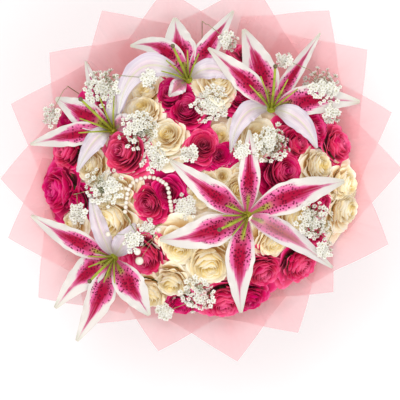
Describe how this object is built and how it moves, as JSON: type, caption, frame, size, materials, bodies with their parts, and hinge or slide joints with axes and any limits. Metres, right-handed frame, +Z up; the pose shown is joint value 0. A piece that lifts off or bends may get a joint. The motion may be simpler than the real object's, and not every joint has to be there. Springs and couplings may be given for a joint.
{
  "type": "flower bouquet",
  "caption": "Round hand-tied bouquet of roses, lilies and baby's breath with pearls, in a pleated collar of pointed film sheets, standing on its stems.",
  "frame": {"origin": "on the ground, in the middle of the cut stem ends the bouquet stands on", "axes": "+Z up through the middle of the bouquet, the way the flowers face; +X and +Y are the right and the top of the view from straight above"},
  "size_m": [0.4419, 0.416, 0.4275],
  "materials": {
    "rose_pink": "velvety petal",
    "rose_cream": "velvety petal",
    "lily_petal": "waxy petal with a crimson band and spots",
    "lily_green": "smooth stalk",
    "babys_breath": "fine white florets on thin green twigs",
    "pearl": "pearl",
    "stem_green": "fresh green stem",
    "film_pink": "matte translucent film",
    "ribbon_pink": "satin"
  },
  "bodies": {
    "root": {"rose_pink_01": "rose_pink", "rose_pink_02": "rose_pink", "rose_pink_03": "rose_pink", "rose_pink_04": "rose_pink", "rose_pink_05": "rose_pink", "rose_pink_06": "rose_pink", "rose_pink_07": "rose_pink", "rose_pink_08": "rose_pink", "rose_pink_09": "rose_pink", "rose_pink_10": "rose_pink", "rose_pink_11": "rose_pink", "rose_pink_12": "rose_pink", "rose_pink_13": "rose_pink", "rose_pink_14": "rose_pink", "rose_pink_15": "rose_pink", "rose_pink_16": "rose_pink", "rose_pink_17": "rose_pink", "rose_white_01": "rose_cream", "rose_white_02": "rose_cream", "rose_white_03": "rose_cream", "rose_white_04": "rose_cream", "rose_white_05": "rose_cream", "rose_white_06": "rose_cream", "rose_white_07": "rose_cream", "rose_white_08": "rose_cream", "rose_white_09": "rose_cream", "rose_white_10": "rose_cream", "rose_white_11": "rose_cream", "rose_white_12": "rose_cream", "rose_white_13": "rose_cream", "rose_white_14": "rose_cream", "rose_white_15": "rose_cream", "lily_01": "lily_petal", "lily_02": "lily_petal", "lily_03": "lily_petal", "lily_04": "lily_petal", "lily_05": "lily_petal", "lily_pistil_01": "lily_green", "lily_pistil_02": "lily_green", "lily_pistil_03": "lily_green", "lily_pistil_04": "lily_green", "lily_pistil_05": "lily_green", "pearl_strand": "pearl", "pearl_pick": "pearl", "babys_breath_01": "babys_breath", "babys_breath_02": "babys_breath", "babys_breath_03": "babys_breath", "babys_breath_04": "babys_breath", "babys_breath_05": "babys_breath", "babys_breath_06": "babys_breath", "babys_breath_07": "babys_breath", "babys_breath_08": "babys_breath", "babys_breath_09": "babys_breath", "babys_breath_10": "babys_breath", "babys_breath_11": "babys_breath", "babys_breath_12": "babys_breath", "babys_breath_13": "babys_breath", "stems": "stem_green", "film_collar": "film_pink", "ribbon": "ribbon_pink"}
  },
  "joints": []
}
